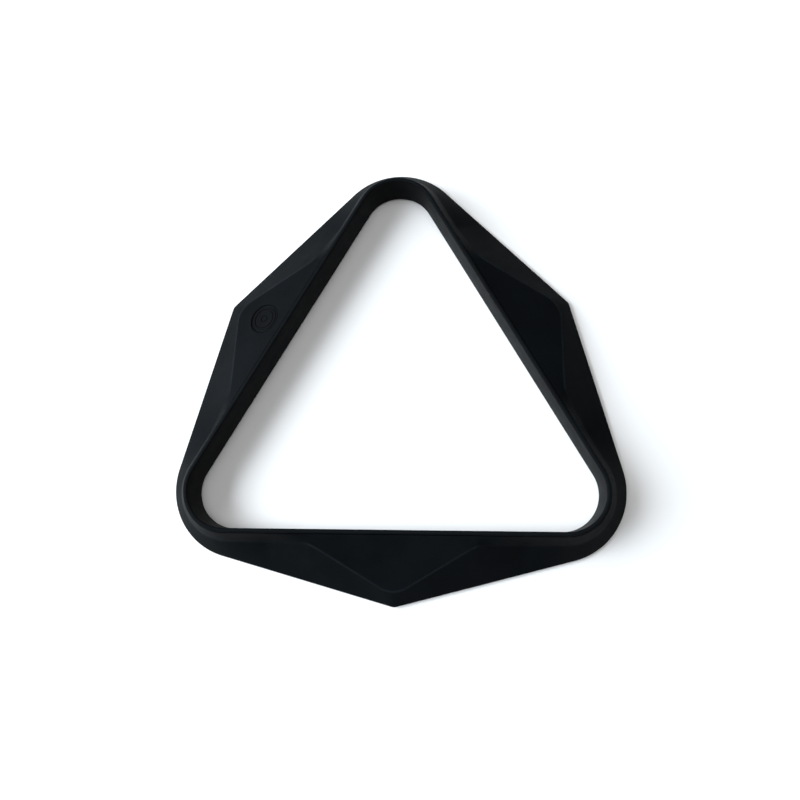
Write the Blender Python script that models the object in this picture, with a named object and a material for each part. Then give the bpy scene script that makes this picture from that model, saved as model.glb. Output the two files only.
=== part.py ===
"""Triangle rack for fifteen billiard balls: a hollow winged shell around an upright ball wall.

Run with: blender --background --python part.py
Units are metres, +Z is up, and the rack's back corner points along +Y. The origin is on the
surface that the rack stands on, at the middle of the rack's length and width.

Plan terms: a side's own frame has its origin where the side's ball wall is nearest to the
triangle's centre. "along" runs counterclockwise beside the wall, "out" runs away from the centre.
"""
import math

import bmesh
import bpy
from mathutils import Matrix, Vector

# The triangle that the balls stand in
BALL_DIAMETER = 0.05715
BALL_CLEARANCE = 0.0004
ROWS_OF_BALLS = 5
WALL_CORNER_RADIUS = 0.027

# The outer outline: round corners, and one blunt point in the middle of each side
CORNER_CENTRE = 0.130
CORNER_RADIUS = 0.0515
POINT_REACH = 0.1485
POINT_RADIUS = 0.007

# Heights above the surface that the rack stands on
RACK_HEIGHT = 0.030
SHELL_TOP = 0.0287
CREASE_HEIGHT = 0.0158
FACET_TIP_HEIGHT = 0.0125
OUTLINE_HEIGHT = 0.0033
GLIDE_THICKNESS = 0.0010
GAP = 0.0003
BASE_HEIGHT = GLIDE_THICKNESS + GAP

# The crease, which runs beside the wall and swings out round each thumb facet
CREASE_OUT = 0.0095
FACET_TIP_OUT = 0.042
FACET_TIP_RADIUS = 0.018
FACET_HALF_LENGTH = 0.058
FACET_END_SOFTNESS = 0.002
RIM_STEEP_PLACE = 0.090

# Ball wall ring
WALL_THICKNESS = 0.0030
LIP_STEPS = 6
FOOT_WIDTH = 0.0125
FOOT_THICKNESS = 0.0030

# Winged shell
SHELL_THICKNESS = 0.0024
SHELL_INNER_OUT = WALL_THICKNESS + GAP
FACET_SLOPE = (SHELL_TOP - FACET_TIP_HEIGHT) / (FACET_TIP_OUT - SHELL_INNER_OUT)
RIM_SLOPE = (SHELL_TOP - CREASE_HEIGHT) / (CREASE_OUT - SHELL_INNER_OUT)
RIB_THICKNESS = 0.0018
RIB_RECESS = 0.0021
RIB_PLACES = (-0.088, -0.068, -0.049, -0.029, -0.0135, 0.0135, 0.029, 0.049, 0.068, 0.088)
TIP_PLATE_HALF_WIDTH = 0.009
TIP_PLATE_INNER_OUT = 0.036
TIP_PLATE_THICKNESS = 0.0026

# Screws between the ring's foot and the shell
SCREW_PLACES = (-0.039, 0.039)
SCREW_OUT = 0.0082
SCREW_HEAD_RADIUS = 0.0030
SCREW_HEAD_HEIGHT = 0.0013
SCREW_SHANK_RADIUS = 0.0014
SCREW_LENGTH = 0.0105
BOSS_RADIUS = 0.0033
COUNTERBORE_DEPTH = 0.0019

# Felt glides
CORNER_GLIDE_INNER_OUT = 0.0020
CORNER_GLIDE_OUTER_OUT = 0.0105
CORNER_GLIDE_HALF_ANGLE = math.radians(45)
WING_GLIDE_RADIUS = 0.0055
WING_GLIDE_OUT = 0.0440

# Inlaid badge on the left wing's facet
BADGE_ALONG = -0.0015
BADGE_OUT = 0.0195
BADGE_RADIUS = 0.0115
BADGE_THICKNESS = 0.0009
BADGE_RECESS = 0.0013
BADGE_RINGS = (0.0026, 0.0078, 0.0102)
BADGE_RING_HALF_WIDTH = 0.0004
BADGE_RING_DEPTH = 0.0003

# Smoothness
WALL_CORNER_STEPS = 12
SIDE_STEPS_PER_HALF = 16
SIDE_STEP_POWER = 1.4
ROUND_STEPS = 24

BALL_ROW_SPAN = (ROWS_OF_BALLS - 1) * BALL_DIAMETER
WALL_INRADIUS = BALL_ROW_SPAN / (2 * math.sqrt(3)) + BALL_DIAMETER / 2 + BALL_CLEARANCE
HALF_STRAIGHT = (WALL_INRADIUS - WALL_CORNER_RADIUS) * math.sqrt(3)
WALL_CORNER_CENTRE = 2 * (WALL_INRADIUS - WALL_CORNER_RADIUS)

SIDE_ANGLES = {"front": math.radians(270), "right": math.radians(30), "left": math.radians(150)}
CORNER_ANGLES = {
    "front_right": math.radians(330),
    "back": math.radians(90),
    "front_left": math.radians(210),
}


def direction(angle):
    """Unit vector in plan at an angle from +X."""
    return Vector((math.cos(angle), math.sin(angle)))


def edge_tilt():
    """Angle in plan between a straight outer edge and the side that it belongs to."""
    along = CORNER_CENTRE * math.sin(math.radians(60))
    out = POINT_REACH - CORNER_CENTRE * math.cos(math.radians(60))
    return math.acos(CORNER_RADIUS / math.hypot(along, out)) - math.atan2(along, out)


TILT = edge_tilt()
POINT_CENTRE = POINT_REACH - POINT_RADIUS / math.cos(TILT)
FRONT_EDGE = POINT_CENTRE + POINT_RADIUS
BACK_EDGE = CORNER_CENTRE + CORNER_RADIUS
CENTRE = Vector((0.0, (FRONT_EDGE - BACK_EDGE) / 2))


def arc(centre, radius, middle, half_angle, steps):
    """Points of an arc, counterclockwise."""
    for step in range(steps + 1):
        yield centre + radius * direction(middle + half_angle * (2 * step / steps - 1))


def outer_outline():
    """The outline seen from above, counterclockwise from the front point."""
    points = []
    for side_angle in SIDE_ANGLES.values():
        point_centre = CENTRE + POINT_CENTRE * direction(side_angle)
        points.extend(arc(point_centre, POINT_RADIUS, side_angle, TILT, 6))
        corner_angle = side_angle + math.radians(60)
        corner_centre = CENTRE + CORNER_CENTRE * direction(corner_angle)
        points.extend(arc(corner_centre, CORNER_RADIUS, corner_angle, math.radians(60) - TILT, 40))
    return points


OUTLINE = outer_outline()


def reach(start, heading):
    """Distance from a point inside the outline to the outline, along a heading."""
    best = 0.0
    for first, second in zip(OUTLINE, OUTLINE[1:] + OUTLINE[:1]):
        edge = second - first
        cross = heading.x * edge.y - heading.y * edge.x
        if abs(cross) < 1e-12:
            continue
        offset = first - start
        distance = (offset.x * edge.y - offset.y * edge.x) / cross
        share = (offset.x * heading.y - offset.y * heading.x) / cross
        if -1e-6 <= share <= 1 + 1e-6:
            best = max(best, distance)
    return best


def flank_angle():
    """Angle in plan between a side and a facet's straight flank, which is tangent to its round tip."""
    tip_centre = FACET_TIP_OUT - FACET_TIP_RADIUS - CREASE_OUT
    diagonal = math.hypot(FACET_HALF_LENGTH, tip_centre)
    return math.atan2(tip_centre, FACET_HALF_LENGTH) + math.asin(FACET_TIP_RADIUS / diagonal)


FLANK = flank_angle()


def crease(along):
    """How far out and how high the crease runs, at a place beside a straight wall.

    Round a facet it is the ridge between the facet's plane and the wing. Past the facet's end it
    runs beside the wall and sinks, so that the rim between it and the lip gets steeper.
    """
    place = abs(along)
    if place < FACET_TIP_RADIUS * math.sin(FLANK):
        from_centre = math.sqrt(FACET_TIP_RADIUS**2 - place**2)
    else:
        from_centre = FACET_TIP_RADIUS / math.cos(FLANK) - place * math.tan(FLANK)
    swing = FACET_TIP_OUT - FACET_TIP_RADIUS + from_centre - CREASE_OUT
    out = CREASE_OUT + (swing + math.hypot(swing, FACET_END_SOFTNESS)) / 2
    share = min(1.0, max(0.0, (place - FACET_HALF_LENGTH) / (RIM_STEEP_PLACE - FACET_HALF_LENGTH)))
    slope = FACET_SLOPE + (RIM_SLOPE - FACET_SLOPE) * share
    return out, SHELL_TOP - slope * (out - SHELL_INNER_OUT)


class Station:
    """A cutting plane across the rack: a point of the ball wall and the way out from it."""

    def __init__(self, foot, heading, along=None):
        self.foot = foot
        self.heading = heading
        self.edge = reach(foot, heading)
        self.crease = (CREASE_OUT, CREASE_HEIGHT) if along is None else crease(along)

    def place(self, out, height):
        plan = self.foot + out * self.heading
        return Vector((plan.x, plan.y, height))


def side_station(side_angle, along):
    heading = direction(side_angle)
    beside = direction(side_angle + math.radians(90))
    return Station(CENTRE + WALL_INRADIUS * heading + along * beside, heading, along)


def corner_station(corner_angle, turn):
    centre = CENTRE + WALL_CORNER_CENTRE * direction(corner_angle)
    heading = direction(corner_angle + turn)
    return Station(centre + WALL_CORNER_RADIUS * heading, heading)


def loop_stations(side_places):
    """Stations all the way round: every side's places, then the turn of its corner."""
    stations = []
    for side_angle in SIDE_ANGLES.values():
        for along in side_places:
            stations.append(side_station(side_angle, along))
        for step in range(1, WALL_CORNER_STEPS):
            turn = math.radians(120) * (step / WALL_CORNER_STEPS - 0.5)
            stations.append(corner_station(side_angle + math.radians(60), turn))
    return stations


def mesh_object(name, build):
    """An object in the scene whose mesh is made by a function that fills a bmesh."""
    mesh = bpy.data.meshes.new(name)
    body = bmesh.new()
    build(body)
    bmesh.ops.recalc_face_normals(body, faces=body.faces)
    body.to_mesh(mesh)
    body.free()
    item = bpy.data.objects.new(name, mesh)
    bpy.context.scene.collection.objects.link(item)
    return item


def sweep(body, sections, closed):
    """Skin a list of equal sections, either round in a loop or with a cap on each end."""
    rings = [[body.verts.new(point) for point in section] for section in sections]
    pairs = list(zip(rings, rings[1:]))
    if closed:
        pairs.append((rings[-1], rings[0]))
    for first, second in pairs:
        count = len(first)
        for index in range(count):
            following = (index + 1) % count
            body.faces.new((first[index], first[following], second[following], second[index]))
    if not closed:
        body.faces.new(rings[0])
        body.faces.new(rings[-1])


def turned(body, profile, placement):
    """A solid turned about Z from a profile of (radius, height) that starts and ends on the axis."""
    start = [body.verts.new((radius, 0.0, height)) for radius, height in profile]
    edges = [body.edges.new(pair) for pair in zip(start, start[1:])]
    bmesh.ops.spin(
        body,
        geom=start + edges,
        axis=(0, 0, 1),
        cent=(0, 0, 0),
        steps=ROUND_STEPS,
        angle=math.tau,
        use_merge=True,
    )
    new_verts = [vert for vert in body.verts if vert.is_valid and not vert.tag]
    bmesh.ops.remove_doubles(body, verts=new_verts, dist=1e-6)
    moved = [vert for vert in body.verts if not vert.tag]
    bmesh.ops.transform(body, matrix=placement, verts=moved)
    for vert in moved:
        vert.tag = True


def under(outer, inner):
    """Height of the shell's underside, a wall's thickness below the line between two points."""
    run = outer[0] - inner[0]
    rise = inner[1] - outer[1]
    return SHELL_THICKNESS * math.hypot(run, rise) / run


def surface(station, out):
    """Height of the shell's top at a distance out from the ball wall."""
    start = (SHELL_INNER_OUT, SHELL_TOP)
    end = station.crease
    if out > station.crease[0]:
        start = station.crease
        end = (station.edge, OUTLINE_HEIGHT)
    return start[1] + (end[1] - start[1]) * (out - start[0]) / (end[0] - start[0])


def hollow(station):
    """The three upper points of the shell's hollow, from inside out: inner wall, crease, skirt."""
    edge = (station.edge, OUTLINE_HEIGHT)
    inner_out = SHELL_INNER_OUT + SHELL_THICKNESS
    middle_out = max(station.crease[0] - SHELL_THICKNESS * 0.3, inner_out + SHELL_THICKNESS * 0.4)
    skirt_out = station.edge - SHELL_THICKNESS
    slope_drop = under(edge, station.crease)
    rim_drop = max(slope_drop, under(station.crease, (SHELL_INNER_OUT, SHELL_TOP)))
    share = min(1.0, max(0.0, (station.crease[0] - inner_out) / SHELL_THICKNESS))
    drop = slope_drop + (rim_drop - slope_drop) * share
    return (
        (inner_out, surface(station, inner_out) - drop),
        (middle_out, min(station.crease[1], surface(station, middle_out)) - drop),
        (skirt_out, max(surface(station, skirt_out) - slope_drop, BASE_HEIGHT + GAP)),
    )


INNER_WALL_FOOT = BASE_HEIGHT + FOOT_THICKNESS + GAP


def shell_section(station):
    """The shell's cut face: up the inner wall, down the rim and the wing, then back underneath."""
    inner, middle, skirt = hollow(station)
    outline = (
        (SHELL_INNER_OUT, INNER_WALL_FOOT),
        (SHELL_INNER_OUT, SHELL_TOP),
        station.crease,
        (station.edge, OUTLINE_HEIGHT),
        (station.edge, BASE_HEIGHT),
        (skirt[0], BASE_HEIGHT),
        skirt,
        middle,
        inner,
        (inner[0], INNER_WALL_FOOT),
    )
    return [station.place(out, height) for out, height in outline]


def rib_section(station):
    """A cross web that fills the hollow above the ring's foot and sinks a little into its walls."""
    inner, middle, skirt = hollow(station)
    sink = SHELL_THICKNESS * 0.4
    outline = (
        (inner[0] - sink, INNER_WALL_FOOT + GAP),
        (inner[0] - sink, inner[1]),
        (middle[0], middle[1] + sink),
        (skirt[0] + sink, BASE_HEIGHT + RIB_RECESS),
        (FOOT_WIDTH + sink, BASE_HEIGHT + RIB_RECESS),
        (FOOT_WIDTH + sink, INNER_WALL_FOOT + GAP),
    )
    return [station.place(out, height) for out, height in outline]


def build_ribs(body):
    """Stiffening webs across each hollow wing."""
    for side_angle in SIDE_ANGLES.values():
        for along in RIB_PLACES:
            ends = (along - RIB_THICKNESS / 2, along + RIB_THICKNESS / 2)
            sections = [rib_section(side_station(side_angle, end)) for end in ends]
            sweep(body, sections, closed=False)


def build_tip_plates(body):
    """A small floor in each wing's point, which the wing's glide is stuck to."""
    for side_angle in SIDE_ANGLES.values():
        sections = []
        for step in range(-5, 6, 2):
            station = side_station(side_angle, TIP_PLATE_HALF_WIDTH * step / 5)
            outer = station.edge - SHELL_THICKNESS * 0.6
            low, high = BASE_HEIGHT + 0.0001, BASE_HEIGHT + TIP_PLATE_THICKNESS
            corners = ((TIP_PLATE_INNER_OUT, low), (outer, low), (outer, high), (TIP_PLATE_INNER_OUT, high))
            sections.append([station.place(out, height) for out, height in corners])
        sweep(body, sections, closed=False)


def screw_points():
    """The point on the underside of the foot where each screw goes up."""
    for side_angle in SIDE_ANGLES.values():
        for along in SCREW_PLACES:
            yield side_station(side_angle, along).place(SCREW_OUT, BASE_HEIGHT)


def build_bosses(body):
    """Round posts under the shell's rim, each with a blind pilot hole a little wider than its screw."""
    low = FOOT_THICKNESS + 2 * GAP
    hole_radius = SCREW_SHANK_RADIUS + GAP
    hole_end = SCREW_LENGTH + 2 * GAP
    for point, place in zip(screw_points(), list(SCREW_PLACES) * 3):
        crease_out, crease_height = crease(place)
        share = (SCREW_OUT - SHELL_INNER_OUT) / (crease_out - SHELL_INNER_OUT)
        roof = SHELL_TOP + (crease_height - SHELL_TOP) * share
        high = roof - SHELL_THICKNESS * 0.8 - BASE_HEIGHT
        profile = (
            (0, hole_end),
            (hole_radius, hole_end),
            (hole_radius, low),
            (BOSS_RADIUS, low),
            (BOSS_RADIUS, high),
            (0, high),
        )
        turned(body, profile, Matrix.Translation(point))


def build_foot_holes(body):
    """Counterbored holes through the ring's foot."""
    bore = SCREW_SHANK_RADIUS + 2 * GAP
    head = SCREW_HEAD_RADIUS + GAP
    high = FOOT_THICKNESS + GAP
    deep = COUNTERBORE_DEPTH
    profile = ((0, -GAP), (head, -GAP), (head, deep), (bore, deep), (bore, high), (0, high))
    for point in screw_points():
        turned(body, profile, Matrix.Translation(point))


def build_screw(body):
    """A self-tapping screw, head down, whose flat pan head sits inside the counterbore."""
    head = SCREW_HEAD_RADIUS
    shank = SCREW_SHANK_RADIUS
    top = COUNTERBORE_DEPTH - GAP
    low = top - SCREW_HEAD_HEIGHT
    profile = (
        (0, low),
        (head - GAP, low),
        (head, low + GAP),
        (head, top),
        (shank, top),
        (shank, SCREW_LENGTH - shank),
        (0, SCREW_LENGTH),
    )
    turned(body, profile, Matrix.Identity(4))


def build_ring(body):
    """The ball wall with its rounded lip, and a flat foot all the way round."""
    lip_radius = WALL_THICKNESS / 2
    lip = []
    for step in range(LIP_STEPS + 1):
        angle = math.pi * (1 - step / LIP_STEPS)
        out = lip_radius + lip_radius * math.cos(angle)
        lip.append((out, RACK_HEIGHT - lip_radius + lip_radius * math.sin(angle)))
    foot_top = BASE_HEIGHT + FOOT_THICKNESS
    outline = [(0.0, BASE_HEIGHT)] + lip
    outline += [(WALL_THICKNESS, foot_top), (FOOT_WIDTH, foot_top), (FOOT_WIDTH, BASE_HEIGHT)]
    stations = loop_stations((-HALF_STRAIGHT, HALF_STRAIGHT))
    sections = [[station.place(out, height) for out, height in outline] for station in stations]
    sweep(body, sections, closed=True)


def side_places():
    """Places along a side, closer together near the middle where the point and facet tip are."""
    places = []
    for step in range(-SIDE_STEPS_PER_HALF, SIDE_STEPS_PER_HALF + 1):
        share = abs(step) / SIDE_STEPS_PER_HALF
        places.append(math.copysign(HALF_STRAIGHT * share**SIDE_STEP_POWER, step))
    return places


def build_shell(body):
    """The winged moulding, hollow underneath, as one closed loop."""
    sections = [shell_section(station) for station in loop_stations(side_places())]
    sweep(body, sections, closed=True)


def facet_point(side_angle, along, out):
    """A point on a thumb facet."""
    station = side_station(side_angle, along)
    crease_out, crease_height = station.crease
    share = (out - SHELL_INNER_OUT) / (crease_out - SHELL_INNER_OUT)
    return station.place(out, SHELL_TOP + (crease_height - SHELL_TOP) * share)


def badge_placement():
    """The badge's place on the left facet, with Z along the facet's outward normal."""
    side_angle = SIDE_ANGLES["left"]
    centre = facet_point(side_angle, BADGE_ALONG, BADGE_OUT)
    reach_out = facet_point(side_angle, BADGE_ALONG, BADGE_OUT + BADGE_RADIUS) - centre
    beside = direction(side_angle + math.radians(90))
    level = Vector((beside.x, beside.y, 0.0))
    across = reach_out.normalized()
    normal = across.cross(level).normalized()
    axes = Matrix((level, across, -normal if normal.z < 0 else normal)).transposed()
    return Matrix.Translation(centre) @ axes.to_4x4()


def build_badge_pocket(body):
    """The shallow round pocket that the badge lies in."""
    radius = BADGE_RADIUS + GAP
    high = BADGE_THICKNESS * 3
    profile = ((0, -BADGE_RECESS), (radius, -BADGE_RECESS), (radius, high), (0, high))
    turned(body, profile, badge_placement())


def build_badge(body):
    """A thin disc with three plain concentric grooves."""
    low = GAP - BADGE_RECESS
    high = low + BADGE_THICKNESS
    profile = [(0, high)]
    for ring in BADGE_RINGS:
        profile.append((ring - BADGE_RING_HALF_WIDTH, high))
        profile.append((ring, high - BADGE_RING_DEPTH))
        profile.append((ring + BADGE_RING_HALF_WIDTH, high))
    profile += [(BADGE_RADIUS - GAP, high), (BADGE_RADIUS, high - GAP), (BADGE_RADIUS, low), (0, low)]
    turned(body, profile, badge_placement())


def build_corner_glide(corner_angle):
    """A curved felt strip under the ring's foot at one corner."""

    def build(body):
        inner, outer = CORNER_GLIDE_INNER_OUT, CORNER_GLIDE_OUTER_OUT
        corners = ((inner, 0.0), (outer, 0.0), (outer, GLIDE_THICKNESS), (inner, GLIDE_THICKNESS))
        sections = []
        for step in range(WALL_CORNER_STEPS + 1):
            turn = CORNER_GLIDE_HALF_ANGLE * (2 * step / WALL_CORNER_STEPS - 1)
            station = corner_station(corner_angle, turn)
            sections.append([station.place(out, height) for out, height in corners])
        sweep(body, sections, closed=False)

    return build


def build_wing_glide(side_angle):
    """A round felt disc under one wing's point."""

    def build(body):
        centre = side_station(side_angle, 0.0).place(WING_GLIDE_OUT, 0.0)
        radius, high = WING_GLIDE_RADIUS, GLIDE_THICKNESS
        turned(body, ((0, 0), (radius, 0), (radius, high), (0, high)), Matrix.Translation(centre))

    return build


def add_boolean(target, name, build, operation):
    """Join a hidden helper to a target, or cut it away."""
    helper = mesh_object(name, build)
    helper.hide_render = True
    helper.display_type = "WIRE"
    modifier = target.modifiers.new(name, "BOOLEAN")
    modifier.operation = operation
    modifier.solver = "EXACT"
    modifier.object = helper


def material(name, colour, roughness, metallic=0.0):
    """A plain material of one colour."""
    finish = bpy.data.materials.new(name)
    finish.use_nodes = True
    shader = finish.node_tree.nodes["Principled BSDF"]
    shader.inputs["Base Color"].default_value = (*colour, 1.0)
    shader.inputs["Roughness"].default_value = roughness
    shader.inputs["Metallic"].default_value = metallic
    return finish


def finish(item, surface, smooth=True):
    """Give an object its material and its shading."""
    item.data.materials.append(surface)
    if smooth:
        item.data.shade_smooth()
        item.data.set_sharp_from_angle(angle=math.radians(30))


def main():
    for old in list(bpy.data.objects):
        bpy.data.objects.remove(old, do_unlink=True)

    ring = mesh_object("ball_wall_ring", build_ring)
    add_boolean(ring, "cut_foot_holes", build_foot_holes, "DIFFERENCE")
    finish(ring, material("ring_plastic", (0.010, 0.011, 0.012), 0.42))

    shell = mesh_object("wing_shell", build_shell)
    add_boolean(shell, "join_ribs", build_ribs, "UNION")
    add_boolean(shell, "join_tip_plates", build_tip_plates, "UNION")
    add_boolean(shell, "join_bosses", build_bosses, "UNION")
    add_boolean(shell, "cut_badge_pocket", build_badge_pocket, "DIFFERENCE")
    finish(shell, material("shell_plastic", (0.012, 0.014, 0.016), 0.45))

    badge = mesh_object("badge_disc", build_badge)
    finish(badge, material("badge_plastic", (0.006, 0.007, 0.008), 0.35))

    steel = material("zinc_steel", (0.50, 0.50, 0.48), 0.35, metallic=1.0)
    for number, point in enumerate(screw_points(), start=1):
        screw = mesh_object("ring_screw_%d" % number, build_screw)
        screw.location = point
        finish(screw, steel)

    felt = material("felt", (0.015, 0.015, 0.016), 0.95)
    for corner, angle in CORNER_ANGLES.items():
        finish(mesh_object("corner_glide_" + corner, build_corner_glide(angle)), felt, smooth=False)
    for side, angle in SIDE_ANGLES.items():
        finish(mesh_object("wing_glide_" + side, build_wing_glide(angle)), felt)


main()
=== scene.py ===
"""Looks of the triangle rack: fine moulded surfaces, procedural materials, floor, lights and camera.

Units are metres. The rack's sides are described as in the CAD: "along" runs counterclockwise beside
a side's ball wall, "out" runs away from the triangle's centre, and heights are above the table.
"""
import math

import bmesh
import bpy
from mathutils import Matrix, Vector


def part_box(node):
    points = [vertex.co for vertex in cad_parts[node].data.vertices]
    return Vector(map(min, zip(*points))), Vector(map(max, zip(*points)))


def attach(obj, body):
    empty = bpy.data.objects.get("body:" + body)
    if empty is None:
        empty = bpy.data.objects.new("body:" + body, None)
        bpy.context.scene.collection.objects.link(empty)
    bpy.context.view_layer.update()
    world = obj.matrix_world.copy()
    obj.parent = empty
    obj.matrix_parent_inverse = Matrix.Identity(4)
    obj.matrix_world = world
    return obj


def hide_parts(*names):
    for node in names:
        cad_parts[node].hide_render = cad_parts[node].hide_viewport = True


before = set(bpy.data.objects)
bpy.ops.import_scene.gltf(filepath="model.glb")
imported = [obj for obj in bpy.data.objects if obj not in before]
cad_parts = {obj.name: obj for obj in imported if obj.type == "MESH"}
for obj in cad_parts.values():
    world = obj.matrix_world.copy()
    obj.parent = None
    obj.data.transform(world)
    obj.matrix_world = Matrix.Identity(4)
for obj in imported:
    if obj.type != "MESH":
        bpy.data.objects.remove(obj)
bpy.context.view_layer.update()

# Heights, and the ring's place, read from the frame
RACK_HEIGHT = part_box("ball_wall_ring")[1].z
BASE_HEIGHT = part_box("ball_wall_ring")[0].z
SHELL_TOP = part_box("wing_shell")[1].z
BACK_EDGE_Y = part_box("wing_shell")[1].y

# The triangle that the balls stand in
BALL_DIAMETER = 0.05715
BALL_CLEARANCE = 0.0004
ROWS_OF_BALLS = 5
WALL_CORNER_RADIUS = 0.027
WALL_INRADIUS = (ROWS_OF_BALLS - 1) * BALL_DIAMETER / (2 * math.sqrt(3)) + BALL_DIAMETER / 2 + BALL_CLEARANCE
HALF_STRAIGHT = (WALL_INRADIUS - WALL_CORNER_RADIUS) * math.sqrt(3)
WALL_CORNER_CENTRE = 2 * (WALL_INRADIUS - WALL_CORNER_RADIUS)

# The outer outline
CORNER_CENTRE = 0.130
CORNER_RADIUS = 0.0515
POINT_REACH = 0.1485
POINT_RADIUS = 0.007
OUTLINE_HEIGHT = 0.0033
OUTLINE_FIT = 0.9993
CENTRE = Vector((0.0, BACK_EDGE_Y - CORNER_CENTRE - CORNER_RADIUS))

# The crease round each thumb facet
CREASE_HEIGHT = 0.0158
CREASE_OUT = 0.0095
FACET_TIP_HEIGHT = 0.0125
FACET_TIP_OUT = 0.042
FACET_TIP_RADIUS = 0.018
FACET_HALF_LENGTH = 0.058
FACET_END_SOFTNESS = 0.002
RIM_STEEP_PLACE = 0.090

# Walls of the two mouldings
GAP = 0.0003
WALL_THICKNESS = 0.0030
FOOT_WIDTH = 0.0125
FOOT_THICKNESS = 0.0030
SHELL_THICKNESS = 0.0024
SHELL_INNER_OUT = WALL_THICKNESS + GAP
FACET_SLOPE = (SHELL_TOP - FACET_TIP_HEIGHT) / (FACET_TIP_OUT - SHELL_INNER_OUT)
RIM_SLOPE = (SHELL_TOP - CREASE_HEIGHT) / (CREASE_OUT - SHELL_INNER_OUT)
INNER_WALL_FOOT = BASE_HEIGHT + FOOT_THICKNESS + GAP

# Shares of a wall's thickness: the lip's rounding, the hollow's shape near the crease, how far webs
# sink into the shell, and how far inside its outer faces tip plates and bosses end
LIP_ROUNDNESS = 0.42
HOLLOW_INSIDE_CREASE = 0.3
HOLLOW_LEAST_WIDTH = 0.4
WEB_SINK = 0.4
TIP_PLATE_INSET = 0.6
BOSS_TOP_DEPTH = 0.8

# Webs and plates under the wings
RIB_THICKNESS = 0.0018
RIB_RECESS = 0.0021
RIB_PLACES = (-0.088, -0.068, -0.049, -0.029, -0.0135, 0.0135, 0.029, 0.049, 0.068, 0.088)
TIP_PLATE_HALF_WIDTH = 0.009
TIP_PLATE_INNER_OUT = 0.036
TIP_PLATE_THICKNESS = 0.0026
TIP_PLATE_STEPS = 5

# Screws between the ring's foot and the shell
SCREW_PLACES = (-0.039, 0.039)
SCREW_OUT = 0.0082
SCREW_HEAD_RADIUS = 0.0030
SCREW_HEAD_HEIGHT = 0.0013
SCREW_HEAD_ROUNDING = 0.0007
SCREW_RECESS_HALF_LENGTH = 0.0018
SCREW_RECESS_HALF_WIDTH = 0.00038
SCREW_RECESS_DEPTH = 0.0010
SCREW_CREST_RADIUS = 0.0014
SCREW_ROOT_RADIUS = 0.0010
SCREW_POINT_RADIUS = 0.0001
SCREW_PITCH = 0.0011
SCREW_LENGTH = 0.0105
BOSS_RADIUS = 0.0033
COUNTERBORE_DEPTH = 0.0019
THREAD_TAPER_TURNS = 2
THREAD_SHARPNESS = 3.0
THREAD_STEPS = 64
RECESS_MOUTH = 1.1
RECESS_FLOOR = 0.55

# Felt glides
GLIDE_THICKNESS = 0.0010
GLIDE_EDGE_SOFT = 0.0003
CORNER_GLIDE_INNER_OUT = 0.0020
CORNER_GLIDE_OUTER_OUT = 0.0105
CORNER_GLIDE_HALF_ANGLE = math.radians(45)
WING_GLIDE_RADIUS = 0.0055
WING_GLIDE_OUT = 0.0440

# Badge on the left wing's facet
BADGE_ALONG = -0.0015
BADGE_OUT = 0.0195
BADGE_RADIUS = 0.0115
BADGE_THICKNESS = 0.0009
BADGE_RECESS = 0.0013
BADGE_EDGE = 0.0002
BADGE_GROOVE_DEPTH = 0.0005
BADGE_GROOVES = ((0.0026, 0.0004), (0.0078, 0.0005), (0.0104, 0.0009))

# How softly each edge of the mouldings is rounded: the length of edge that the rounding takes
LIP_EDGE_SOFT = 0.0009
CREASE_SOFT = 0.0011
OUTLINE_SOFT = 0.0012
BASE_SOFT = 0.0006
INSIDE_SOFT = 0.0008

# Smoothness of the fine meshes
SIDE_STEPS_PER_HALF = 70
SIDE_STEP_POWER = 1.25
WALL_CORNER_STEPS = 48
SOFT_STEPS = 6
RING_STEPS_PER_HALF = 12
OUTLINE_POINT_STEPS = 24
OUTLINE_CORNER_STEPS = 160
FACET_STRIPS = 10
WING_STRIPS = 4
ROUND_STEPS = 96
SCREW_STEPS = 32
FELT_EDGE_STEPS = 4
FINE_STEP = 0.00012
MOULDING_SMOOTH_ANGLE = 40
FELT_SMOOTH_ANGLE = 60
MOST_ROUNDING = 0.45
PARALLEL = 1e-12
EDGE_SLACK = 1e-6

# Painted highlight: a lighter colour that stands for the highlight lines on the shell's crease and on the
# ring's lip, and the points of each section that get it
PAINTED_HIGHLIGHT_LAYER = "painted_highlight"
PAINTED_HIGHLIGHT_RAMP = 0.0015
LIP_PAINTED_HIGHLIGHT = 0.3
RIDGE_START = 2 * (SOFT_STEPS + 1) + FACET_STRIPS - 1
RIDGE_HIGHLIGHT_POINTS = range(RIDGE_START + 1, RIDGE_START + SOFT_STEPS)
LIP_HIGHLIGHT_POINTS = range(SOFT_STEPS + 3, 3 * SOFT_STEPS + 2)

SIDE_ANGLES = {"front": math.radians(270), "right": math.radians(30), "left": math.radians(150)}
CORNER_ANGLES = {
    "front_right": math.radians(330),
    "back": math.radians(90),
    "front_left": math.radians(210),
}
HALF_CORNER = math.radians(60)
QUARTER_TURN = math.radians(90)


def direction(angle):
    """Unit vector in plan at an angle from +X."""
    return Vector((math.cos(angle), math.sin(angle)))


def edge_tilt():
    """Angle in plan between a straight outer edge and the side that it belongs to."""
    along = CORNER_CENTRE * math.sin(HALF_CORNER)
    out = POINT_REACH - CORNER_CENTRE * math.cos(HALF_CORNER)
    return math.acos(CORNER_RADIUS / math.hypot(along, out)) - math.atan2(along, out)


TILT = edge_tilt()


def arc(centre, radius, middle, half_angle, steps):
    """Points of an arc, counterclockwise."""
    for step in range(steps + 1):
        yield centre + radius * direction(middle + half_angle * (2 * step / steps - 1))


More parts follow.
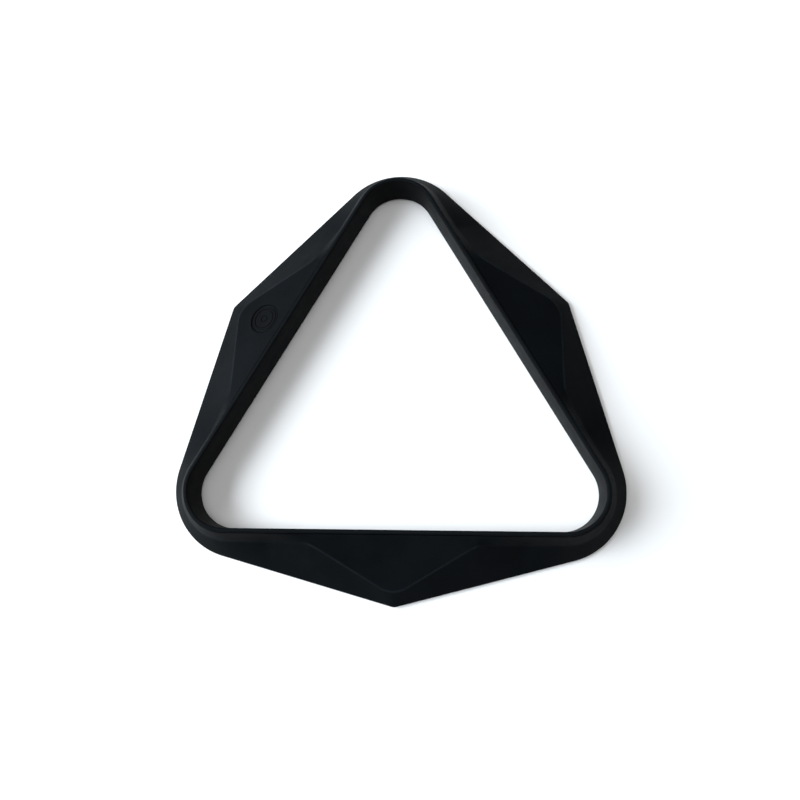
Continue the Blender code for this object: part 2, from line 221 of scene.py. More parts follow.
def outer_outline():
    """The outline seen from above, counterclockwise from the front point."""
    point_centre = POINT_REACH - POINT_RADIUS / math.cos(TILT)
    points = []
    for side_angle in SIDE_ANGLES.values():
        middle = CENTRE + point_centre * direction(side_angle)
        points.extend(arc(middle, POINT_RADIUS, side_angle, TILT, OUTLINE_POINT_STEPS))
        corner_angle = side_angle + HALF_CORNER
        middle = CENTRE + CORNER_CENTRE * direction(corner_angle)
        points.extend(arc(middle, CORNER_RADIUS, corner_angle, HALF_CORNER - TILT, OUTLINE_CORNER_STEPS))
    return [point * OUTLINE_FIT for point in points]


OUTLINE = outer_outline()


def reach(start, heading):
    """Distance from a point inside the outline to the outline, along a heading."""
    best = 0.0
    for first, second in zip(OUTLINE, OUTLINE[1:] + OUTLINE[:1]):
        edge = second - first
        cross = heading.x * edge.y - heading.y * edge.x
        if abs(cross) < PARALLEL:
            continue
        offset = first - start
        distance = (offset.x * edge.y - offset.y * edge.x) / cross
        share = (offset.x * heading.y - offset.y * heading.x) / cross
        if -EDGE_SLACK <= share <= 1 + EDGE_SLACK:
            best = max(best, distance)
    return best


def flank_angle():
    """Angle in plan between a side and a facet's straight flank, which is tangent to its round tip."""
    tip_centre = FACET_TIP_OUT - FACET_TIP_RADIUS - CREASE_OUT
    diagonal = math.hypot(FACET_HALF_LENGTH, tip_centre)
    return math.atan2(tip_centre, FACET_HALF_LENGTH) + math.asin(FACET_TIP_RADIUS / diagonal)


FLANK = flank_angle()


def crease(along):
    """How far out and how high the crease runs, at a place beside a straight wall.

    Round a facet it is the ridge between the facet's plane and the wing. Past the facet's end it
    runs beside the wall and sinks, so that the rim between it and the lip gets steeper.
    """
    place = abs(along)
    if place < FACET_TIP_RADIUS * math.sin(FLANK):
        from_centre = math.sqrt(FACET_TIP_RADIUS**2 - place**2)
    else:
        from_centre = FACET_TIP_RADIUS / math.cos(FLANK) - place * math.tan(FLANK)
    swing = FACET_TIP_OUT - FACET_TIP_RADIUS + from_centre - CREASE_OUT
    out = CREASE_OUT + (swing + math.hypot(swing, FACET_END_SOFTNESS)) / 2
    share = min(1.0, max(0.0, (place - FACET_HALF_LENGTH) / (RIM_STEEP_PLACE - FACET_HALF_LENGTH)))
    slope = FACET_SLOPE + (RIM_SLOPE - FACET_SLOPE) * share
    return out, SHELL_TOP - slope * (out - SHELL_INNER_OUT)


class Station:
    """A cutting plane across the rack: a point of the ball wall and the way out from it."""

    def __init__(self, foot, heading, along=None):
        self.foot = foot
        self.heading = heading
        self.edge = reach(foot, heading)
        self.crease = (CREASE_OUT, CREASE_HEIGHT) if along is None else crease(along)

    def place(self, out, height):
        plan = self.foot + out * self.heading
        return Vector((plan.x, plan.y, height))


def side_station(side_angle, along):
    heading = direction(side_angle)
    beside = direction(side_angle + QUARTER_TURN)
    return Station(CENTRE + WALL_INRADIUS * heading + along * beside, heading, along)


def corner_station(corner_angle, turn):
    centre = CENTRE + WALL_CORNER_CENTRE * direction(corner_angle)
    heading = direction(corner_angle + turn)
    return Station(centre + WALL_CORNER_RADIUS * heading, heading)


def loop_stations(side_places):
    """Stations all the way round: every side's places, then the turn of its corner."""
    stations = []
    for side_angle in SIDE_ANGLES.values():
        for along in side_places:
            stations.append(side_station(side_angle, along))
        for step in range(1, WALL_CORNER_STEPS):
            turn = 2 * HALF_CORNER * (step / WALL_CORNER_STEPS - 0.5)
            stations.append(corner_station(side_angle + HALF_CORNER, turn))
    return stations


def side_places():
    """Places along a side, closer together near the middle where the point and facet tip are."""
    places = []
    for step in range(-SIDE_STEPS_PER_HALF, SIDE_STEPS_PER_HALF + 1):
        share = abs(step) / SIDE_STEPS_PER_HALF
        places.append(math.copysign(HALF_STRAIGHT * share**SIDE_STEP_POWER, step))
    return places


# Mesh making

def softened(corners):
    """A closed outline from corners (out, height, softness, strips), each corner rounded by a curve.

    strips is the number of equal pieces that the straight run before the corner is cut into.
    """
    points = []
    count = len(corners)
    for index, (out, height, soft, strips) in enumerate(corners):
        here = Vector((out, height))
        before = Vector(corners[index - 1][:2])
        after = Vector(corners[(index + 1) % count][:2])
        back = min(soft, MOST_ROUNDING * (before - here).length)
        ahead = min(soft, MOST_ROUNDING * (after - here).length)
        start = here + (before - here).normalized() * back
        end = here + (after - here).normalized() * ahead
        if strips > 1:
            run_start = points[-1]
            for strip in range(1, strips):
                points.append(run_start.lerp(start, strip / strips))
        for step in range(SOFT_STEPS + 1):
            share = step / SOFT_STEPS
            points.append(start.lerp(here, share).lerp(here.lerp(end, share), share))
    return points


def mesh_object(name, build, smooth_angle=MOULDING_SMOOTH_ANGLE):
    """An object in the scene whose mesh is made by a function that fills a bmesh."""
    mesh = bpy.data.meshes.new(name)
    body = bmesh.new()
    build(body)
    bmesh.ops.recalc_face_normals(body, faces=body.faces)
    body.to_mesh(mesh)
    body.free()
    item = bpy.data.objects.new(name, mesh)
    bpy.context.scene.collection.objects.link(item)
    mesh.shade_smooth()
    mesh.set_sharp_from_angle(angle=math.radians(smooth_angle))
    return item


def sweep(body, sections, closed):
    """Skin a list of equal sections, either round in a loop or with a cap on each end."""
    rings = [[body.verts.new(point) for point in section] for section in sections]
    pairs = list(zip(rings, rings[1:]))
    if closed:
        pairs.append((rings[-1], rings[0]))
    for first, second in pairs:
        count = len(first)
        for index in range(count):
            following = (index + 1) % count
            body.faces.new((first[index], first[following], second[following], second[index]))
    if not closed:
        body.faces.new(rings[0])
        body.faces.new(rings[-1])


def turned(body, profile, placement, steps=ROUND_STEPS):
    """A solid turned about Z from a profile of (radius, height) that starts and ends on the axis.

    A radius may be a function of the angle, which makes a thread.
    """
    rings = []
    for radius, height in profile:
        if radius == 0:
            rings.append([body.verts.new(placement @ Vector((0, 0, height)))])
            continue
        ring = []
        for step in range(steps):
            angle = math.tau * step / steps
            spoke = direction(angle) * (radius(angle) if callable(radius) else radius)
            ring.append(body.verts.new(placement @ Vector((spoke.x, spoke.y, height))))
        rings.append(ring)
    for lower, upper in zip(rings, rings[1:]):
        for step in range(steps):
            following = (step + 1) % steps
            if len(lower) == 1:
                body.faces.new((lower[0], upper[step], upper[following]))
            elif len(upper) == 1:
                body.faces.new((lower[step], lower[following], upper[0]))
            else:
                body.faces.new((lower[step], lower[following], upper[following], upper[step]))


def combine(target, build, operation):
    """Join a shape to a piece for good, or cut it away."""
    helper = mesh_object("helper", build)
    modifier = target.modifiers.new("combine", "BOOLEAN")
    modifier.operation = operation
    modifier.solver = "EXACT"
    modifier.object = helper
    evaluated = target.evaluated_get(bpy.context.evaluated_depsgraph_get())
    result = bpy.data.meshes.new_from_object(evaluated)
    target.modifiers.clear()
    target.data = result
    result.shade_smooth()
    result.set_sharp_from_angle(angle=math.radians(MOULDING_SMOOTH_ANGLE))
    bpy.data.objects.remove(helper, do_unlink=True)


# Winged shell

def under(outer, inner):
    """How far below the line between two points the underside lies, for a wall of even thickness."""
    run = outer[0] - inner[0]
    rise = inner[1] - outer[1]
    return SHELL_THICKNESS * math.hypot(run, rise) / run


def top_height(station, out):
    """Height of the shell's top at a distance out from the ball wall."""
    start = (SHELL_INNER_OUT, SHELL_TOP)
    end = station.crease
    if out > station.crease[0]:
        start = station.crease
        end = (station.edge, OUTLINE_HEIGHT)
    return start[1] + (end[1] - start[1]) * (out - start[0]) / (end[0] - start[0])


def hollow(station):
    """The three upper points of the shell's hollow, from inside out: inner wall, crease, skirt."""
    edge = (station.edge, OUTLINE_HEIGHT)
    inner_out = SHELL_INNER_OUT + SHELL_THICKNESS
    middle_out = max(
        station.crease[0] - SHELL_THICKNESS * HOLLOW_INSIDE_CREASE,
        inner_out + SHELL_THICKNESS * HOLLOW_LEAST_WIDTH,
    )
    skirt_out = station.edge - SHELL_THICKNESS
    slope_drop = under(edge, station.crease)
    rim_drop = max(slope_drop, under(station.crease, (SHELL_INNER_OUT, SHELL_TOP)))
    share = min(1.0, max(0.0, (station.crease[0] - inner_out) / SHELL_THICKNESS))
    drop = slope_drop + (rim_drop - slope_drop) * share
    return (
        (inner_out, top_height(station, inner_out) - drop),
        (middle_out, min(station.crease[1], top_height(station, middle_out)) - drop),
        (skirt_out, max(top_height(station, skirt_out) - slope_drop, BASE_HEIGHT + GAP)),
    )


def shell_section(station):
    """The shell's cut face with every edge softened."""
    inner, middle, skirt = hollow(station)
    corners = (
        (SHELL_INNER_OUT, INNER_WALL_FOOT, INSIDE_SOFT / 2, 1),
        (SHELL_INNER_OUT, SHELL_TOP, LIP_EDGE_SOFT, 1),
        (*station.crease, CREASE_SOFT, FACET_STRIPS),
        (station.edge, OUTLINE_HEIGHT, OUTLINE_SOFT, WING_STRIPS),
        (station.edge, BASE_HEIGHT, BASE_SOFT, 1),
        (skirt[0], BASE_HEIGHT, BASE_SOFT, 1),
        (*skirt, INSIDE_SOFT, 1),
        (*middle, INSIDE_SOFT * 2, 1),
        (*inner, INSIDE_SOFT, 1),
        (inner[0], INNER_WALL_FOOT, INSIDE_SOFT / 2, 1),
    )
    return [station.place(point.x, point.y) for point in softened(corners)]


def build_shell(body):
    """The shell's skin, with the points of its ridges marked for the painted highlight."""
    stations = loop_stations(side_places())
    sweep(body, [shell_section(station) for station in stations], closed=True)
    painted_highlight = body.verts.layers.float.new(PAINTED_HIGHLIGHT_LAYER)
    body.verts.ensure_lookup_table()
    per_section = len(body.verts) // len(stations)
    for number, station in enumerate(stations):
        amount = min(1.0, max(0.0, (station.crease[0] - CREASE_OUT) / PAINTED_HIGHLIGHT_RAMP))
        for index in RIDGE_HIGHLIGHT_POINTS:
            body.verts[number * per_section + index][painted_highlight] = amount


def rib_section(station):
    """A cross web that fills the hollow above the ring's foot and sinks a little into its walls."""
    inner, middle, skirt = hollow(station)
    sink = SHELL_THICKNESS * WEB_SINK
    outline = (
        (inner[0] - sink, INNER_WALL_FOOT + GAP),
        (inner[0] - sink, inner[1]),
        (middle[0], middle[1] + sink),
        (skirt[0] + sink, BASE_HEIGHT + RIB_RECESS),
        (FOOT_WIDTH + sink, BASE_HEIGHT + RIB_RECESS),
        (FOOT_WIDTH + sink, INNER_WALL_FOOT + GAP),
    )
    return [station.place(out, height) for out, height in outline]


def build_ribs(body):
    for side_angle in SIDE_ANGLES.values():
        for along in RIB_PLACES:
            ends = (along - RIB_THICKNESS / 2, along + RIB_THICKNESS / 2)
            sweep(body, [rib_section(side_station(side_angle, end)) for end in ends], closed=False)


def build_tip_plates(body):
    """A small floor in each wing's point, which the wing's glide is stuck to."""
    low = BASE_HEIGHT + FINE_STEP
    high = BASE_HEIGHT + TIP_PLATE_THICKNESS
    for side_angle in SIDE_ANGLES.values():
        sections = []
        for step in range(-TIP_PLATE_STEPS, TIP_PLATE_STEPS + 1, 2):
            station = side_station(side_angle, TIP_PLATE_HALF_WIDTH * step / TIP_PLATE_STEPS + FINE_STEP)
            outer = station.edge - SHELL_THICKNESS * TIP_PLATE_INSET
            corners = ((TIP_PLATE_INNER_OUT, low), (outer, low), (outer, high), (TIP_PLATE_INNER_OUT, high))
            sections.append([station.place(out, height) for out, height in corners])
        sweep(body, sections, closed=False)


def screw_points():
    """The point on the underside of the foot where each screw goes up."""
    for side_angle in SIDE_ANGLES.values():
        for along in SCREW_PLACES:
            yield side_station(side_angle, along).place(SCREW_OUT, BASE_HEIGHT)


def build_bosses(body):
    """Round posts under the shell's rim, each with a blind pilot hole."""
    low = FOOT_THICKNESS + 2 * GAP
    hole_radius = SCREW_CREST_RADIUS + GAP
    hole_end = SCREW_LENGTH + 2 * GAP
    crease_out, crease_height = crease(SCREW_PLACES[1])
    share = (SCREW_OUT - SHELL_INNER_OUT) / (crease_out - SHELL_INNER_OUT)
    roof = SHELL_TOP + (crease_height - SHELL_TOP) * share
    high = roof - SHELL_THICKNESS * BOSS_TOP_DEPTH - BASE_HEIGHT
    profile = (
        (0, hole_end),
        (hole_radius, hole_end),
        (hole_radius, low),
        (BOSS_RADIUS, low),
        (BOSS_RADIUS, high),
        (0, high),
    )
    for point in screw_points():
        turned(body, profile, Matrix.Translation(point), SCREW_STEPS)


# Ball wall ring

def build_ring(body):
    """The ball wall with its rounded lip and flat foot. The lip is marked for a painted highlight."""
    lip = WALL_THICKNESS * LIP_ROUNDNESS
    foot_top = BASE_HEIGHT + FOOT_THICKNESS
    corners = (
        (0.0, BASE_HEIGHT, BASE_SOFT, 1),
        (0.0, RACK_HEIGHT, lip, 1),
        (WALL_THICKNESS, RACK_HEIGHT, lip, 1),
        (WALL_THICKNESS, foot_top, INSIDE_SOFT / 2, 1),
        (FOOT_WIDTH, foot_top, BASE_SOFT / 2, 1),
        (FOOT_WIDTH, BASE_HEIGHT, BASE_SOFT / 2, 1),
    )
    outline = softened(corners)
    steps = range(-RING_STEPS_PER_HALF, RING_STEPS_PER_HALF + 1)
    stations = loop_stations([HALF_STRAIGHT * step / RING_STEPS_PER_HALF for step in steps])
    sections = [[station.place(point.x, point.y) for point in outline] for station in stations]
    sweep(body, sections, closed=True)
    painted_highlight = body.verts.layers.float.new(PAINTED_HIGHLIGHT_LAYER)
    for number, vertex in enumerate(body.verts):
        if number % len(outline) in LIP_HIGHLIGHT_POINTS:
            vertex[painted_highlight] = LIP_PAINTED_HIGHLIGHT


def build_foot_holes(body):
    """Counterbored holes through the ring's foot."""
    bore = SCREW_CREST_RADIUS + 2 * GAP
    head = SCREW_HEAD_RADIUS + GAP
    high = FOOT_THICKNESS + GAP
    deep = COUNTERBORE_DEPTH
    profile = ((0, -GAP), (head, -GAP), (head, deep), (bore, deep), (bore, high), (0, high))
    for point in screw_points():
        turned(body, profile, Matrix.Translation(point), SCREW_STEPS * 2)


# Screws

def build_screw(body):
    """A self-tapping screw, head down, with a round-edged pan head and a helical thread."""
    top = COUNTERBORE_DEPTH - GAP
    low = top - SCREW_HEAD_HEIGHT
    profile = [(0, low)]
    for step in range(SOFT_STEPS + 1):
        turn = QUARTER_TURN * step / SOFT_STEPS
        radius = SCREW_HEAD_RADIUS - SCREW_HEAD_ROUNDING * (1 - math.sin(turn))
        profile.append((radius, low + SCREW_HEAD_ROUNDING * (1 - math.cos(turn))))
    profile += [(SCREW_HEAD_RADIUS, top - FINE_STEP), (SCREW_HEAD_RADIUS - FINE_STEP, top)]
    profile.append((SCREW_ROOT_RADIUS, top))

    def thread(height):
        taper = min(1.0, (SCREW_LENGTH - height) / (THREAD_TAPER_TURNS * SCREW_PITCH))
        depth = (SCREW_CREST_RADIUS - SCREW_ROOT_RADIUS) * min(1.0, (height - top) / SCREW_PITCH)

        def radius(angle):
            turn = (height / SCREW_PITCH - angle / math.tau) % 1.0
            crest = max(0.0, 1.0 - abs(turn - 0.5) * THREAD_SHARPNESS)
            return max(SCREW_POINT_RADIUS, taper * (SCREW_ROOT_RADIUS + depth * crest))

        return radius

    for step in range(1, THREAD_STEPS):
        height = top + (SCREW_LENGTH - top) * step / THREAD_STEPS
        profile.append((thread(height), height))
    profile.append((0, SCREW_LENGTH))
    turned(body, profile, Matrix.Identity(4), SCREW_STEPS)


def build_screw_recess(body):
    """A cross-shaped recess that narrows as it goes up into the head."""
    low = COUNTERBORE_DEPTH - GAP - SCREW_HEAD_HEIGHT
    for turn in (0.0, QUARTER_TURN):
        along, across = direction(turn), direction(turn + QUARTER_TURN)
        sections = []
        for depth, shrink in ((-GAP, RECESS_MOUTH), (SCREW_RECESS_DEPTH, RECESS_FLOOR)):
            length = SCREW_RECESS_HALF_LENGTH * shrink
            width = SCREW_RECESS_HALF_WIDTH * shrink
            ring = []
            for long_side, wide_side in ((-1, -1), (1, -1), (1, 1), (-1, 1)):
                plan = along * length * long_side + across * width * wide_side
                ring.append(Vector((plan.x, plan.y, low + depth)))
            sections.append(ring)
        sweep(body, sections, closed=False)


# Badge

def facet_point(side_angle, along, out):
    """A point on a thumb facet."""
    station = side_station(side_angle, along)
    crease_out, crease_height = station.crease
    share = (out - SHELL_INNER_OUT) / (crease_out - SHELL_INNER_OUT)
    return station.place(out, SHELL_TOP + (crease_height - SHELL_TOP) * share)


def badge_placement():
    """The badge's place on the left facet, with Z along the facet's outward normal."""
    side_angle = SIDE_ANGLES["left"]
    centre = facet_point(side_angle, BADGE_ALONG, BADGE_OUT)
    across = (facet_point(side_angle, BADGE_ALONG, BADGE_OUT + BADGE_RADIUS) - centre).normalized()
    beside = direction(side_angle + QUARTER_TURN)
    level = Vector((beside.x, beside.y, 0.0))
    normal = across.cross(level).normalized()
    axes = Matrix((level, across, -normal if normal.z < 0 else normal)).transposed()
    return Matrix.Translation(centre) @ axes.to_4x4()


def build_badge_pocket(body):
    """The shallow round pocket that the badge lies in."""
    radius = BADGE_RADIUS + GAP
    high = BADGE_THICKNESS * 3
    profile = ((0, -BADGE_RECESS), (radius, -BADGE_RECESS), (radius, high), (0, high))
    turned(body, profile, badge_placement())


def build_badge(body):
    """A thin disc with plain concentric grooves, round at the bottom, and a rounded edge."""
    low = GAP - BADGE_RECESS
    high = low + BADGE_THICKNESS
    profile = [(0, high)]
    for centre, half_width in BADGE_GROOVES:
        for step in range(-SOFT_STEPS, SOFT_STEPS + 1):
            share = step / SOFT_STEPS
            drop = BADGE_GROOVE_DEPTH * (1 - share * share)
            profile.append((centre + half_width * share, high - drop))
    profile += [(BADGE_RADIUS - BADGE_EDGE, high), (BADGE_RADIUS, high - BADGE_EDGE)]
    profile += [(BADGE_RADIUS, low), (0, low)]
    turned(body, profile, Matrix.Identity(4))


# Felt glides

def felt_edge(height):
    """How far a felt edge draws in at a height, so that both its rims are round."""
    rim = min(height, GLIDE_THICKNESS - height)
    if rim >= GLIDE_EDGE_SOFT:
        return 0.0
    return GLIDE_EDGE_SOFT - math.sqrt(GLIDE_EDGE_SOFT**2 - (GLIDE_EDGE_SOFT - rim) ** 2)


def glide_heights():
    """Heights up the side of a glide, close together at its round rims."""
    turns = [QUARTER_TURN * step / FELT_EDGE_STEPS for step in range(FELT_EDGE_STEPS + 1)]
    rim = [GLIDE_EDGE_SOFT * (1 - math.cos(turn)) for turn in turns]
    return rim + [GLIDE_THICKNESS - height for height in reversed(rim)]


def build_corner_glide(corner_angle):
    """A curved felt strip under the ring's foot at one corner."""

    def build(body):
        sections = []
        for step in range(WALL_CORNER_STEPS + 1):
            turn = CORNER_GLIDE_HALF_ANGLE * (2 * step / WALL_CORNER_STEPS - 1)
            station = corner_station(corner_angle, turn)
            ring = []
            for height in glide_heights():
                ring.append(station.place(CORNER_GLIDE_OUTER_OUT - felt_edge(height), height))
            for height in reversed(glide_heights()):
                ring.append(station.place(CORNER_GLIDE_INNER_OUT + felt_edge(height), height))
            sections.append(ring)
        sweep(body, sections, closed=False)

    return build


def build_wing_glide(side_angle):
    """A round felt disc under one wing's point."""

    def build(body):
        centre = side_station(side_angle, 0.0).place(WING_GLIDE_OUT, 0.0)
        profile = [(0, 0)]
        profile += [(WING_GLIDE_RADIUS - felt_edge(height), height) for height in glide_heights()]
        profile.append((0, GLIDE_THICKNESS))
        turned(body, profile, Matrix.Translation(centre), ROUND_STEPS // 2)

    return build


# Materials

SHELL_BLACK = (0.0033, 0.0042, 0.0051)
RING_BLACK = (0.0031, 0.0038, 0.0045)
BADGE_BLACK = (0.0032, 0.0038, 0.0044)
CLOUD_DARK = 0.82
CLOUD_LIGHT = 1.22
# Painted highlight: how much lighter the marked ridges and lip are painted
PAINTED_HIGHLIGHT_LIGHTNESS = 2.6
MOULDING_SPECULAR = 0.018


def node_material(name):
    """A new material, and a helper that adds a node to it with its inputs set."""
    surface = bpy.data.materials.new(name)
    surface.use_nodes = True
    tree = surface.node_tree
    shader = tree.nodes["Principled BSDF"]

    def add(kind, links=None, **settings):
        node = tree.nodes.new(kind)
        for key, value in settings.items():
            if key.startswith("in_"):
                node.inputs[key[3:].replace("_", " ")].default_value = value
            else:
                setattr(node, key, value)
        for socket, source in (links or {}).items():
            tree.links.new(source, node.inputs[socket])
        return node

    return surface, tree, shader, add


def ramp(add, source, low, high, low_value, high_value):
    """A source value spread from low..high to low_value..high_value."""
    node = add("ShaderNodeMapRange", {"Value": source})
    node.inputs["From Min"].default_value = low
    node.inputs["From Max"].default_value = high
    node.inputs["To Min"].default_value = low_value
    node.inputs["To Max"].default_value = high_value
    return node.outputs["Result"]


def shade(colour, factor):
    """A colour made lighter or darker, with its alpha."""
    return (*(channel * factor for channel in colour), 1.0)


def moulded_plastic(name, colour, roughness, grain):
    """Satin black plastic: fine spark-eroded grain, faint cloudiness, dust specks, rubbed patches of
    roughness, and a painted highlight on marked ridges and lips.
    """
    surface, tree, shader, add = node_material(name)
    place = add("ShaderNodeTexCoord").outputs["Object"]
    cloud = add("ShaderNodeTexNoise", {"Vector": place}, in_Scale=22.0, in_Detail=4.0, in_Roughness=0.6)
    rub_and_highlight_noise = add("ShaderNodeTexNoise", {"Vector": place}, in_Scale=70.0, in_Detail=6.0, in_Roughness=0.7)
    speck = add("ShaderNodeTexNoise", {"Vector": place}, in_Scale=2600.0, in_Detail=2.0, in_Roughness=0.6)
    fine = add("ShaderNodeTexNoise", {"Vector": place}, in_Scale=1500.0, in_Detail=3.0, in_Roughness=0.55)

    mix = add("ShaderNodeMix", data_type="RGBA")
    mix.inputs["A"].default_value = shade(colour, CLOUD_DARK)
    mix.inputs["B"].default_value = shade(colour, CLOUD_LIGHT)
    tree.links.new(ramp(add, cloud.outputs["Fac"], 0.35, 0.65, 0.0, 1.0), mix.inputs["Factor"])
    # Painted highlight: the base colour is made lighter on the marked ridge and lip points, patchy with the
    # noise
    highlight_marks = add("ShaderNodeAttribute", attribute_name=PAINTED_HIGHLIGHT_LAYER)
    highlight_strength = add("ShaderNodeMath", {0: highlight_marks.outputs["Fac"]}, operation="MULTIPLY")
    tree.links.new(ramp(add, rub_and_highlight_noise.outputs["Fac"], 0.35, 0.60, 0.55, 1.0), highlight_strength.inputs[1])
    highlight_mix = add("ShaderNodeMix", {"A": mix.outputs["Result"]}, data_type="RGBA")
    highlight_mix.inputs["B"].default_value = shade(colour, PAINTED_HIGHLIGHT_LIGHTNESS)
    tree.links.new(highlight_strength.outputs["Value"], highlight_mix.inputs["Factor"])
    tree.links.new(highlight_mix.outputs["Result"], shader.inputs["Base Color"])

    polish = add("ShaderNodeMath", operation="ADD")
    handled = ramp(add, rub_and_highlight_noise.outputs["Fac"], 0.40, 0.72, roughness + 0.04, roughness - 0.05)
    tree.links.new(handled, polish.inputs[0])
    tree.links.new(ramp(add, speck.outputs["Fac"], 0.45, 0.75, 0.0, 0.06), polish.inputs[1])
    tree.links.new(polish.outputs["Value"], shader.inputs["Roughness"])

    coarse = add("ShaderNodeTexNoise", {"Vector": place}, in_Scale=420.0, in_Detail=2.0, in_Roughness=0.5)
    bump = add("ShaderNodeBump", {"Height": fine.outputs["Fac"]}, in_Strength=grain, in_Distance=0.00006)
    sink = add(
        "ShaderNodeBump",
        {"Height": coarse.outputs["Fac"], "Normal": bump.outputs["Normal"]},
        in_Strength=grain * 0.7,
        in_Distance=0.00010,
    )
    tree.links.new(sink.outputs["Normal"], shader.inputs["Normal"])
    shader.inputs["Specular IOR Level"].default_value = MOULDING_SPECULAR
    return surface


def dense_felt():
    """Pressed black felt with short fibres."""
    surface, tree, shader, add = node_material("dense_felt")
    place = add("ShaderNodeTexCoord").outputs["Object"]
    fibre = add("ShaderNodeTexNoise", {"Vector": place}, in_Scale=1400.0, in_Detail=6.0, in_Roughness=0.75)
    lint = add("ShaderNodeTexVoronoi", {"Vector": place}, in_Scale=900.0)
    mix = add("ShaderNodeMix", data_type="RGBA")
    mix.inputs["A"].default_value = (0.008, 0.008, 0.009, 1.0)
    mix.inputs["B"].default_value = (0.030, 0.030, 0.032, 1.0)
    tree.links.new(ramp(add, fibre.outputs["Fac"], 0.35, 0.7, 0.0, 1.0), mix.inputs["Factor"])
    tree.links.new(mix.outputs["Result"], shader.inputs["Base Color"])
    tree.links.new(ramp(add, lint.outputs["Distance"], 0.0, 1.0, 0.86, 1.0), shader.inputs["Roughness"])
    bump = add("ShaderNodeBump", {"Height": fibre.outputs["Fac"]}, in_Strength=0.8, in_Distance=0.00025)
    tree.links.new(bump.outputs["Normal"], shader.inputs["Normal"])
    shader.inputs["Sheen Weight"].default_value = 0.25
    return surface


def plated_steel():
    """Zinc-plated steel with a slightly blotchy shine."""
    surface, tree, shader, add = node_material("plated_steel")
    place = add("ShaderNodeTexCoord").outputs["Object"]
    blotch = add("ShaderNodeTexNoise", {"Vector": place}, in_Scale=500.0, in_Detail=4.0, in_Roughness=0.6)
    mix = add("ShaderNodeMix", data_type="RGBA")
    mix.inputs["A"].default_value = (0.42, 0.42, 0.40, 1.0)
    mix.inputs["B"].default_value = (0.62, 0.62, 0.61, 1.0)
    tree.links.new(ramp(add, blotch.outputs["Fac"], 0.35, 0.7, 0.0, 1.0), mix.inputs["Factor"])
    tree.links.new(mix.outputs["Result"], shader.inputs["Base Color"])
    tree.links.new(ramp(add, blotch.outputs["Fac"], 0.3, 0.7, 0.28, 0.45), shader.inputs["Roughness"])
    shader.inputs["Metallic"].default_value = 1.0
    return surface


def pale_floor():
    """Matt white paper, a little uneven in tone."""
    surface, tree, shader, add = node_material("pale_floor")
    place = add("ShaderNodeTexCoord").outputs["Object"]
    tone = add("ShaderNodeTexNoise", {"Vector": place}, in_Scale=3.0, in_Detail=3.0)
    mix = add("ShaderNodeMix", data_type="RGBA")
    mix.inputs["A"].default_value = (0.86, 0.86, 0.86, 1.0)
    mix.inputs["B"].default_value = (0.89, 0.89, 0.885, 1.0)
    tree.links.new(tone.outputs["Fac"], mix.inputs["Factor"])
    tree.links.new(mix.outputs["Result"], shader.inputs["Base Color"])
    shader.inputs["Roughness"].default_value = 0.9
    shader.inputs["Specular IOR Level"].default_value = 0.1
    return surface


# Pieces

def place_piece(piece, surface, slot, *nodes):
    """Finish a piece: its material, its CAD body and the nodes it stands for. The slot argument is not used.
    """
    piece.data.materials.append(surface)
    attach(piece, "root")
    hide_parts(*nodes)


def make_shell(surface):
    shell = mesh_object("wing_shell_fine", build_shell)
    combine(shell, build_ribs, "UNION")
    combine(shell, build_tip_plates, "UNION")
    combine(shell, build_bosses, "UNION")
    combine(shell, build_badge_pocket, "DIFFERENCE")
    place_piece(shell, surface, "shell_plastic", "wing_shell")


def make_ring(surface):
    ring = mesh_object("ball_wall_fine", build_ring)
    combine(ring, build_foot_holes, "DIFFERENCE")
    place_piece(ring, surface, "ring_plastic", "ball_wall_ring")


def make_badge(surface):
    badge = mesh_object("badge_disc_fine", build_badge)
    badge.matrix_world = badge_placement()
    place_piece(badge, surface, "badge_plastic", "badge_disc")


def make_screws(surface):
    for number, point in enumerate(screw_points(), start=1):
        screw = mesh_object("ring_screw_%d_fine" % number, build_screw)
        combine(screw, build_screw_recess, "DIFFERENCE")
        screw.location = point
        place_piece(screw, surface, "zinc_steel", "ring_screw_%d" % number)


def make_glides(surface):
    for corner, angle in CORNER_ANGLES.items():
        glide = mesh_object("corner_glide_%s_fine" % corner, build_corner_glide(angle), FELT_SMOOTH_ANGLE)
        place_piece(glide, surface, "felt", "corner_glide_" + corner)
    for side, angle in SIDE_ANGLES.items():
        glide = mesh_object("wing_glide_%s_fine" % side, build_wing_glide(angle), FELT_SMOOTH_ANGLE)
        place_piece(glide, surface, "felt", "wing_glide_" + side)


def make_pieces():
    make_shell(moulded_plastic("shell_plastic_fine", SHELL_BLACK, roughness=0.50, grain=0.5))
    make_ring(moulded_plastic("ring_plastic_fine", RING_BLACK, roughness=0.46, grain=0.3))
    make_badge(moulded_plastic("badge_plastic_fine", BADGE_BLACK, roughness=0.38, grain=0.1))
    make_screws(plated_steel())
    make_glides(dense_felt())


# Stage, lights and camera

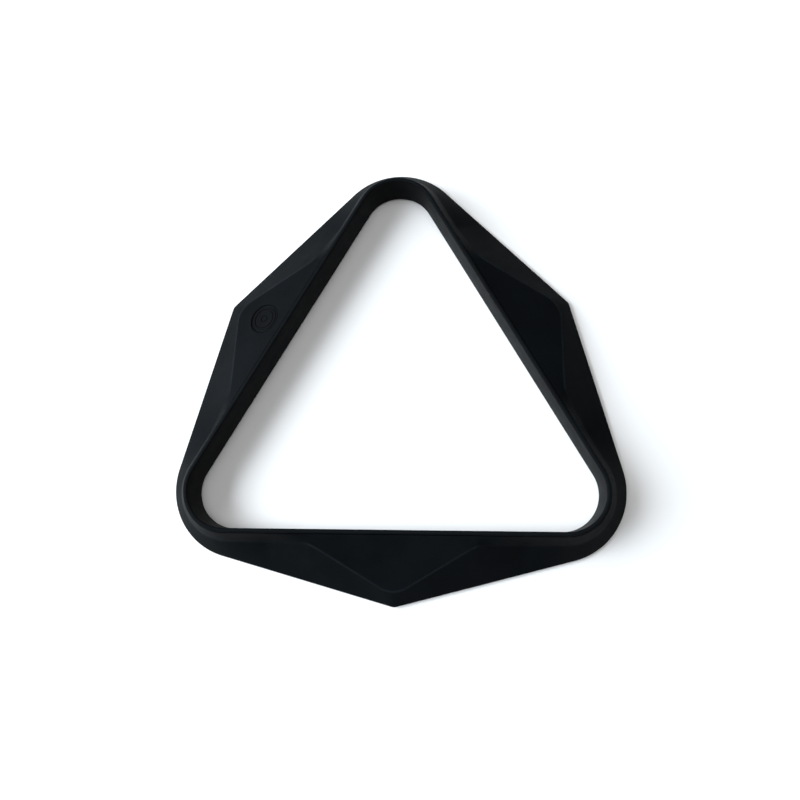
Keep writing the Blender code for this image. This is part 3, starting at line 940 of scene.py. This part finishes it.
FLOOR_HALF_SIZE = 4.0
LIGHTS = {
    # name: (place, side of the square, power, colour)
    "key_soft": ((-1.97, 0.0, 1.38), 1.6, 98.0, (0.92, 1.0, 1.07)),
    "side_soft": ((-1.39, 1.39, 1.38), 1.6, 24.0, (0.97, 1.0, 1.02)),
    "top_soft": ((0.0, 0.0, 2.40), 1.2, 20.0, (1.0, 1.0, 1.0)),
}
LIGHT_AIM = Vector((0.0, 0.0, 0.0))
WORLD_COLOUR = (1.0, 1.0, 1.0)
WORLD_STRENGTH = 0.10

CAMERA_PLACE = Vector((0.04255, -0.11575, 0.49903))
CAMERA_AIM = Vector((0.00223, -0.01580, 0.0))
CAMERA_ROLL = math.radians(-0.73)
CAMERA_LENS = 30.70
SENSOR_WIDTH = 36.0
BACKWARDS = Vector((0.0, 1.0, 0.0))


def aimed(place, target, roll=0.0):
    """A placement that looks from place to target, with its top towards the back, then rolled."""
    back = (place - target).normalized()
    right = BACKWARDS.cross(back).normalized()
    top = back.cross(right)
    turned_axes = Matrix((right, top, back)).transposed()
    return Matrix.Translation(place) @ (turned_axes @ Matrix.Rotation(-roll, 3, "Z")).to_4x4()


def make_stage():
    floor = bpy.data.meshes.new("floor")
    body = bmesh.new()
    bmesh.ops.create_grid(body, x_segments=1, y_segments=1, size=FLOOR_HALF_SIZE)
    body.to_mesh(floor)
    body.free()
    item = bpy.data.objects.new("floor", floor)
    bpy.context.scene.collection.objects.link(item)
    floor.materials.append(pale_floor())


def make_lights():
    for name, (place, size, power, colour) in LIGHTS.items():
        light = bpy.data.lights.new(name, "AREA")
        light.shape = "SQUARE"
        light.size = size
        light.energy = power
        light.color = colour
        item = bpy.data.objects.new(name, light)
        item.matrix_world = aimed(Vector(place), LIGHT_AIM)
        bpy.context.scene.collection.objects.link(item)
    world = bpy.data.worlds.new("studio")
    world.use_nodes = True
    sky = world.node_tree.nodes["Background"]
    sky.inputs["Color"].default_value = (*WORLD_COLOUR, 1.0)
    sky.inputs["Strength"].default_value = WORLD_STRENGTH
    bpy.context.scene.world = world
    bpy.context.scene.view_settings.view_transform = "Standard"


def make_camera():
    lens = bpy.data.cameras.new("camera")
    lens.sensor_width = SENSOR_WIDTH
    lens.lens = CAMERA_LENS
    item = bpy.data.objects.new("camera", lens)
    item.matrix_world = aimed(CAMERA_PLACE, CAMERA_AIM, CAMERA_ROLL)
    bpy.context.scene.collection.objects.link(item)
    bpy.context.scene.camera = item


make_camera()
make_lights()
make_stage()
make_pieces()
